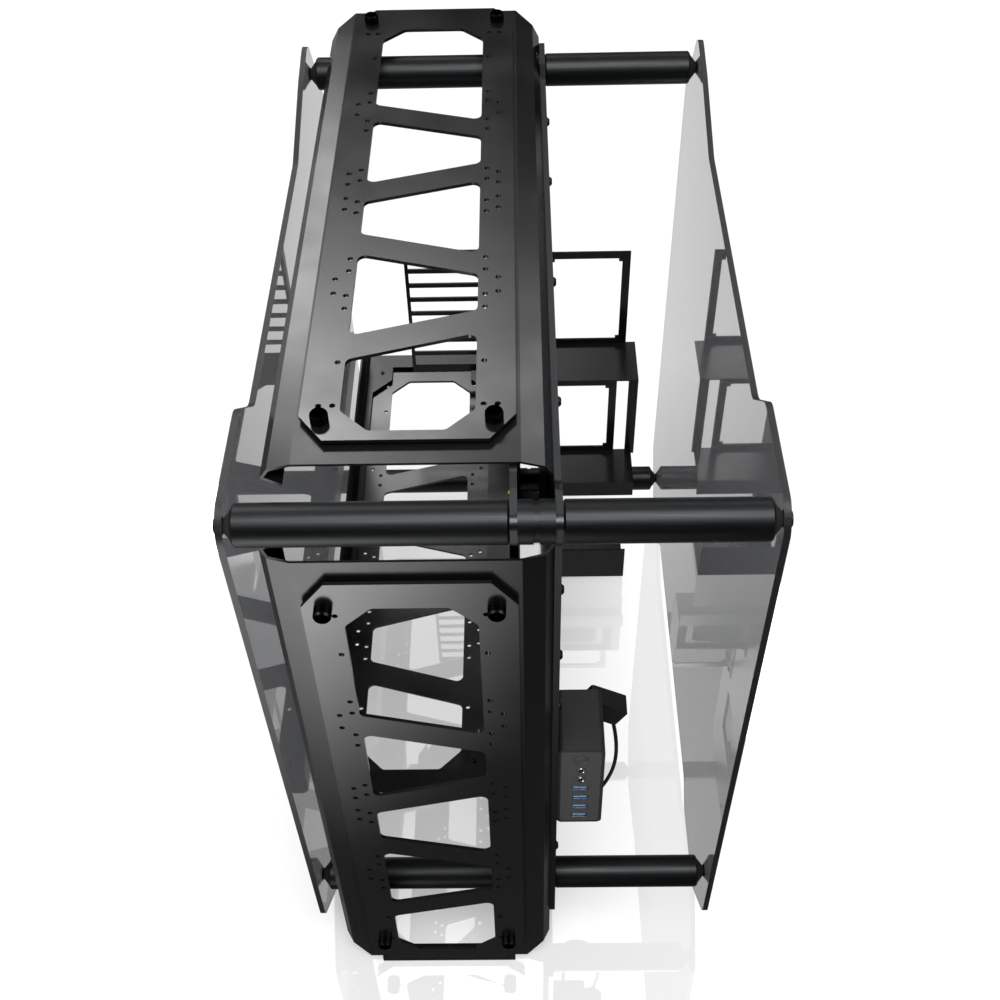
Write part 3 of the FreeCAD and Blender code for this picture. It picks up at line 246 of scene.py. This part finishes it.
# %% [markdown]
# ## Small finishes
#
# Screws are blackened steel, the thumb screws and the standoffs under the panels black
# aluminium, the studs in the tubes zinc-plated steel, the motherboard standoffs brass.
# The connector box is moulded ABS with a fine spark texture, the grommets and feet are
# soft rubber.

# %% Metal and plastic finishes
def plain_metal(name, colour, roughness, turn_mm):
    """A turned or pressed metal with marks of this size."""
    material, tree, shader, coords = finish_named(
        name, Base_Color=linear(colour), Metallic=1.0)
    marks = noise(tree, coords["Object"], turn_mm, detail=2.0)
    vary_gloss(tree, shader, marks, roughness, spread=0.06)
    return material


def moulded(name, colour, roughness, spark_mm, depth_mm):
    """A plastic or rubber with a spark texture of this size and depth."""
    material, tree, shader, coords = finish_named(
        name, Base_Color=linear(colour), Roughness=roughness, IOR=1.53)
    spark = noise(tree, coords["Object"], spark_mm, detail=2.0)
    raise_grain(tree, shader, spark, strength=0.3, depth_mm=depth_mm)
    return material


FINISHES = {
    "coated_sheet": coated_steel,
    "coated_panel": coated_panel,
    "anodised_plate": anodised_plate,
    "anodised_tube": anodised_tube,
    "smoked_glass": smoked_glass,
    "black_screws": plain_metal("blackened_steel", "#2a2a2b", 0.35, 3),
    "steel_studs": plain_metal("zinc_plated_steel", "#b9bcc0", 0.32, 3),
    "brass_standoffs": plain_metal("brass", "#c9a24e", 0.30, 3),
    "knob_aluminium": plain_metal("black_knob_aluminium", "#1f1f20", 0.34, 3),
    "black_rubber": moulded("rubber", "#141414", 0.75, 0.8, 0.04),
    "grey_plastic": moulded("abs_dark_grey", "#1a1a1b", 0.5, 0.8, 0.05),
    "button_plastic": moulded("abs_button", "#3a3a3b", 0.40, 0.8, 0.02),
    "black_plastic": moulded("nylon_black", "#121213", 0.45, 0.8, 0.03),
    "port_steel": plain_metal("nickel_plated_steel", "#c4c6c9", 0.25, 2),
    "blue_plastic": moulded("pbt_blue", "#6a9cc4", 0.42, 0.8, 0.02),
    "circuit_board": moulded("solder_mask_black", "#101512", 0.35, 0.6, 0.02),
    "cable_jacket": moulded("pvc_jacket", "#0e0e0f", 0.45, 1.2, 0.02),
}
print(len(FINISHES), "finishes")

# %% [markdown]
# ## Dressing the CAD nodes
#
# The record says which material slot each node has. A node keeps its shape and only
# its material changes, so the finish is put in the object's own slots. The connector
# box's face gets a lighter copy of its shell's grey plastic: painted light that stands in
# for the light falling on its front.

# %% Finishes on the CAD nodes
for part in frame["record"]["subparts"]:
    slots = nodes[part["node"]].data.materials
    slots.clear()
    slots.append(FINISHES[part["material_slot"]])
# Painted light: the box's front face is a lighter copy of the shell's grey plastic, as if lit from
# the front.
nodes["box_face"].data.materials[0] = moulded("abs_grey_painted_lit_face", "#3b3b3c", 0.5, 0.8, 0.04)
print(len(nodes), "nodes dressed")

# %% [markdown]
# ## New pieces
#
# A new shape is built in a bmesh, Blender's mesh for editing, and then written to a plain
# mesh. Each new piece rides on the case and takes its finish from one of the record's slots.

# %% Helpers for new pieces
def mesh_of(shape, name):
    """The plain mesh of a finished bmesh, which is freed."""
    mesh = bpy.data.meshes.new(name)
    shape.to_mesh(mesh)
    shape.free()
    return mesh


def case_piece(name, data, slot):
    """A new object that rides on the case, with a slot's finish."""
    data.materials.append(FINISHES[slot])
    piece = bpy.data.objects.new(name, data)
    scene.collection.objects.link(piece)
    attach(piece, "case")
    return piece


print("piece helpers ready")

# %% [markdown]
# ## Knurled thumb screws
#
# Each panel hangs on four thumb screws. A knurling wheel presses fine teeth round the
# head, so the outline starts as a circle with every second point pulled in. The head then
# grows from that outline in four steps: up the knurl, in along the chamfer, across the
# flat top and down into the dimple that the lathe's centre leaves. The CAD screws stand
# at the corners of their own box, so their places are read from it. The bottom panel's
# screws are hardly seen and keep their CAD shape.

# %% Thumb screws
KNOB_RADIUS = 6.5 * MILLIMETRE
KNOB_TEETH = 36
KNOB_VALLEY = 0.955  # share of the radius between two teeth
KNURL_MM, CHAMFER_MM, DIMPLE_MM = 6.4, 1.6, 0.9
KNOB_HEIGHT = (KNURL_MM + CHAMFER_MM) * MILLIMETRE
KNOB_STEPS = (  # rise in mm and share of the width before
    (KNURL_MM, 1.0), (CHAMFER_MM, 0.84), (0.0, 0.4), (-DIMPLE_MM, 0.7))


def grow_head(shape):
    """One knurled head that stands on the origin. Its points are given back."""
    ring = bmesh.ops.create_circle(
        shape, cap_ends=True, segments=2 * KNOB_TEETH, radius=KNOB_RADIUS)["verts"]
    for vert in ring[::2]:
        vert.co *= KNOB_VALLEY
    points = list(ring)
    top = ring[0].link_faces[0]
    for rise, share in KNOB_STEPS:
        new = bmesh.ops.extrude_face_region(shape, geom=[top])["geom"]
        top = next(item for item in new if isinstance(item, bmesh.types.BMFace))
        for vert in top.verts:
            vert.co = Vector((vert.co.x * share, vert.co.y * share, vert.co.z + rise * MILLIMETRE))
        points += top.verts
    return points


def thumb_screws(node, outward):
    """Four knurled heads in place of the CAD screws of one panel, facing outward."""
    corners = [Vector(corner) for corner in nodes[node].bound_box]
    low, high = corners[0], corners[6]
    axis = [abs(part) for part in outward].index(1)
    first, second = [k for k in range(3) if k != axis]
    tip = high[axis] if outward[axis] > 0 else low[axis]
    turn = Vector((0, 0, 1)).rotation_difference(Vector(outward)).to_matrix().to_4x4()
    shape = bmesh.new()
    for a in (low[first] + KNOB_RADIUS, high[first] - KNOB_RADIUS):
        for b in (low[second] + KNOB_RADIUS, high[second] - KNOB_RADIUS):
            foot = Vector((0, 0, 0))
            foot[first], foot[second], foot[axis] = a, b, tip - KNOB_HEIGHT * outward[axis]
            head = grow_head(shape)
            bmesh.ops.transform(shape, matrix=Matrix.Translation(foot) @ turn, verts=head)
    bmesh.ops.recalc_face_normals(shape, faces=shape.faces)
    name = node.replace("knobs", "thumb_screws")
    piece = case_piece(name, mesh_of(shape, name), "knob_aluminium")
    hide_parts(node)
    return piece


for node, outward in (("top_knobs", (0, 0, 1)), ("front_knobs", (0, -1, 0))):
    print(thumb_screws(node, outward).name)

# %% [markdown]
# ## Rims of the audio jacks
#
# The two audio jacks have bright plated rims. A rim is turned, so its half section is
# spun once round the jack's axis, which runs along Y. The spin ends where it began, and
# points that meet there are welded.

# %% Jack rims
JACK_X, JACK_FACE_Y = 59.5, -319.5
JACK_HEIGHTS = (324.0, 310.0)
RIM_SECTION = (  # radius and depth in mm
    (2.3, 0.5), (2.3, -0.6), (2.8, -1.0), (3.7, -0.9), (4.1, -0.3), (4.1, 0.5))
RIM_STEPS = 40
WELD = 0.01 * MILLIMETRE

shape = bmesh.new()
for height in JACK_HEIGHTS:
    middle = Vector((JACK_X, JACK_FACE_Y, height)) * MILLIMETRE
    points = [shape.verts.new(middle + Vector((radius, depth, 0)) * MILLIMETRE)
              for radius, depth in RIM_SECTION]
    edges = [shape.edges.new(pair) for pair in zip(points, points[1:] + points[:1])]
    bmesh.ops.spin(shape, geom=points + edges, cent=middle, axis=(0, 1, 0),
                   angle=radians(360), steps=RIM_STEPS, use_merge=True)
bmesh.ops.remove_doubles(shape, verts=shape.verts, dist=WELD)
bmesh.ops.recalc_face_normals(shape, faces=shape.faces)
jack_rims = case_piece("jack_rims", mesh_of(shape, "jack_rims"), "port_steel")
print(jack_rims.name)

# %% [markdown]
# ## Lead of the connector box
#
# A thin lead leaves the rear wall of the connector box, hangs in a loop and ends in the
# plug beside it. A hanging lead has no corners, so it is a NURBS curve: the points are the
# corners of its route, and a spline of order 3 runs smoothly inside them. The order is set
# after the points are added, because a new spline has too few points to keep it.

# %% Connector lead
LEAD_DIAMETER = 3.5 * MILLIMETRE
LEAD_ROUTE = (  # in mm, from the wall to the plug
    (55, -259.5, 295), (55, -247.5, 295), (55, -247.5, 271), (55, -247.5, 190),
    (55, -247.5, 161), (84, -247.5, 161), (102, -247.5, 240), (88, -247.5, 305))

lead_curve = bpy.data.curves.new("connector_lead", "CURVE")
lead_curve.dimensions = "3D"
lead_curve.bevel_depth = LEAD_DIAMETER / 2
lead_curve.bevel_resolution = 6
lead_curve.use_fill_caps = True
line = lead_curve.splines.new("NURBS")
line.points.add(len(LEAD_ROUTE) - 1)
for point, corner in zip(line.points, LEAD_ROUTE):
    point.co = (*Vector(corner) * MILLIMETRE, 1.0)
line.order_u = 3
line.use_endpoint_u = True
lead = case_piece("connector_lead", lead_curve, "cable_jacket")
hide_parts("connector_cable")
print(lead.name)

# %% [markdown]
# ## Floor
#
# The floor is a pale board with a thin gloss. Three kinds of ray meet it, and the Light
# Path node tells them apart:
#
# - The camera, and a look through the glass, see it glow white, with a faint mirror image
#   of the feet. Under the case a painted mask dims the glow, so the real shadow on the
#   matt board shows there.
# - A singular ray comes from the polished glass. To it the front of the floor is a strong
#   mirror, so the cages stand on their heads in the glass.
# - Any other glossy ray comes from the black coat. To it the floor is nearly black in front
#   of the case and dim under it, a painted shadow that the front panel mirrors, with one
#   bright patch in front on the left, outside the picture: a painted reflection that lights
#   the front panel's upper left.

# %% Floor
FLOOR_HALF = 12
PATCH_MIDDLE = (-0.44, -1.0, 0)
PATCH_STRENGTH = 5.4
GLOW_STRENGTH = 1.1
GLOW_SHARE = 0.88
SHADE_UNDER_CASE = 0.45
SHADE_MIDDLE_X = -0.07
CAMERA_SHINE = 0.22


def cleared_tree(owner):
    """The empty node tree of a material or world."""
    owner.use_nodes = True
    owner.node_tree.nodes.clear()
    return owner.node_tree


shape = bmesh.new()
bmesh.ops.create_grid(shape, x_segments=1, y_segments=1, size=FLOOR_HALF)
floor_mesh = mesh_of(shape, "floor")
floor = bpy.data.objects.new("floor", floor_mesh)
scene.collection.objects.link(floor)
board = bpy.data.materials.new("white_board")
tree = cleared_tree(board)
ray = add(tree, "ShaderNodeLightPath", {}).outputs
where = add(tree, "ShaderNodeTexCoord", {}).outputs["Object"]
spot = add(tree, "ShaderNodeSeparateXYZ", {0: where}).outputs

# Which rays see it white, and what the coat sees: a painted shadow in front of the case and a
# painted reflection patch
clear = reckon(tree, "MAXIMUM", ray["Is Singular Ray"], ray["Is Transmission Ray"])
direct = reckon(tree, "MAXIMUM", ray["Is Camera Ray"], clear)
coat_ray = reckon(tree, "SUBTRACT", ray["Is Glossy Ray"], ray["Is Singular Ray"], clamp=True)
away = add(tree, "ShaderNodeVectorMath", {0: where, 1: PATCH_MIDDLE}, operation="DISTANCE")
patch = reckon(tree, "POWER", ramp(tree, away.outputs["Value"], 0.28, 0.62, 1.0, 0.0), 2.0)
# Painted shadow: to the coat the floor glows darker in front of the case than under it
painted_shadow_fade = ramp(tree, spot["Y"], -0.35, -0.20, 0.08, 0.4)
in_coat = reckon(tree, "MULTIPLY_ADD", patch, PATCH_STRENGTH, painted_shadow_fade)
painted_reflection = reckon(tree, "MULTIPLY", coat_ray, in_coat)
strength = reckon(tree, "MAXIMUM", painted_reflection, direct)

# Painted shade under the case: a mask leaves more of the matt board and less of the glow, so the
# real shadow shows there
sideways = reckon(tree, "ABSOLUTE", reckon(tree, "SUBTRACT", spot["X"], SHADE_MIDDLE_X))
lengthways = reckon(tree, "ABSOLUTE", spot["Y"])
under_x = ramp(tree, sideways, 0.10, 0.22, SHADE_UNDER_CASE, 0.0)
under_y = ramp(tree, lengthways, 0.28, 0.42, 1.0, 0.0)
lighted = reckon(tree, "SUBTRACT", GLOW_SHARE, reckon(tree, "MULTIPLY", under_x, under_y))
seen = reckon(tree, "MAXIMUM", direct, ray["Is Glossy Ray"])
most = reckon(tree, "MAXIMUM", lighted, ray["Is Glossy Ray"])
share = reckon(tree, "MULTIPLY", seen, most)

# Matt board, glow and mirror together
matt = add(tree, "ShaderNodeBsdfDiffuse", {"Color": linear("#f2f2f2")})
glow = add(tree, "ShaderNodeEmission", {
    "Color": (1, 1, 1, 1), "Strength": reckon(tree, "MULTIPLY", strength, GLOW_STRENGTH)})
body = add(tree, "ShaderNodeMixShader", {0: share, 1: matt.outputs[0], 2: glow.outputs[0]})
gloss = add(tree, "ShaderNodeBsdfGlossy", {"Color": (1, 1, 1, 1), "Roughness": 0.0})
by_glass = reckon(
    tree, "SUBTRACT", ray["Is Singular Ray"], ray["Is Transmission Ray"], clamp=True)
in_glass = ramp(tree, spot["Y"], 0.05, 0.55, 0.75, 0.1)
faint = reckon(tree, "MULTIPLY", ray["Is Camera Ray"], CAMERA_SHINE)
shine = reckon(tree, "MULTIPLY_ADD", by_glass, in_glass, faint)
mirror = add(tree, "ShaderNodeMixShader", {0: shine, 1: body.outputs[0], 2: gloss.outputs[0]})
add(tree, "ShaderNodeOutputMaterial", {"Surface": mirror.outputs[0]})
floor_mesh.materials.append(board)
print("floor ready")

# %% [markdown]
# ## World
#
# The world is white for the camera and for the glass, and soft for the shading. To the
# coat it is dark apart from one far strip of light behind on the left. The strip starts
# at 30 degrees above the floor, grows to its full strength at 45 and then drops to a faint
# glow. The far end of the top panel mirrors its foot and the near end its bright top,
# which gives the panel its long fade.

# %% World
SOFT_STRENGTH = 0.4
STRIP_FOOT, STRIP_TOP = 0.5, 0.707  # heights as the sine of the angle above the floor
STRIP_STRENGTH, STRIP_REST = 17.0, 0.6
STRIP_GROWTH = 2.8
DARK_STRENGTH = 0.06
SECOND_MIRROR = 0.3  # how bright the world is in a mirror seen in a mirror


def background(tree, strength):
    """A white background of this strength."""
    return add(tree, "ShaderNodeBackground", {
        "Color": (1, 1, 1, 1), "Strength": strength}).outputs[0]


world = bpy.data.worlds.new("studio")
scene.world = world
tree = cleared_tree(world)
ray = add(tree, "ShaderNodeLightPath", {}).outputs
way = add(tree, "ShaderNodeTexCoord", {}).outputs["Generated"]
toward = add(tree, "ShaderNodeSeparateXYZ", {0: way}).outputs

# The strip that the coat sees
foot = reckon(tree, "POWER", ramp(tree, toward["Z"], STRIP_FOOT, STRIP_TOP, 0.0, 1.0), STRIP_GROWTH)
top = ramp(tree, toward["Z"], 0.709, 0.735, STRIP_STRENGTH, STRIP_REST)
beside = ramp(tree, toward["X"], -0.16, 0.08, 1.0, 0.0)
ahead = ramp(tree, toward["Y"], 0.4, 0.5, 0.0, 1.0)
ends = reckon(tree, "MULTIPLY", beside, ahead)
strip = reckon(tree, "MULTIPLY", foot, top)
far_lamp = reckon(tree, "MULTIPLY_ADD", strip, ends, DARK_STRENGTH)

# Each kind of ray and its own background
twice = reckon(tree, "GREATER_THAN", ray["Glossy Depth"], 1.5)
white = background(tree, ramp(tree, twice, 0.0, 1.0, 1.0, SECOND_MIRROR))
soft = background(tree, SOFT_STRENGTH)
dark = background(tree, far_lamp)
plain = add(tree, "ShaderNodeMixShader", {0: ray["Is Glossy Ray"], 1: soft, 2: dark})
clear = reckon(tree, "MAXIMUM", ray["Is Singular Ray"], ray["Is Transmission Ray"])
seen = reckon(tree, "MAXIMUM", ray["Is Camera Ray"], clear)
both = add(tree, "ShaderNodeMixShader", {0: seen, 1: plain.outputs[0], 2: white})
add(tree, "ShaderNodeOutputWorld", {"Surface": both.outputs[0]})
print("world ready")

# %% [markdown]
# ## Lamps
#
# Each lamp is there for one reflection. The overhead lamp draws the band along the tubes,
# and the two low ones behind light the left and right bevels of the top bracket.

# %% Lamps
def softbox(name, place, aim, size, watts):
    """A rectangular soft lamp at place, facing aim."""
    data = bpy.data.lights.new(name, "AREA")
    data.shape = "RECTANGLE"
    data.size, data.size_y = size
    data.energy = watts
    lamp = bpy.data.objects.new(name, data)
    lamp.location = place
    lamp.rotation_euler = (Vector(aim) - Vector(place)).to_track_quat("-Z", "Y").to_euler()
    lamp.visible_camera = False
    scene.collection.objects.link(lamp)
    return lamp


softbox("overhead", (0.1, -1.0, 2.65), (0, -0.34, 0.6), (1.4, 1.2), 66)
softbox("back_left_low", (-1.25, 1.83, 1.75), (-0.15, 0, 0.66), (0.7, 0.5), 12)
softbox("back_right", (0.93, 1.42, 2.1), (0.03, -0.2, 0.66), (0.7, 0.5), 7)
print("lamps ready")
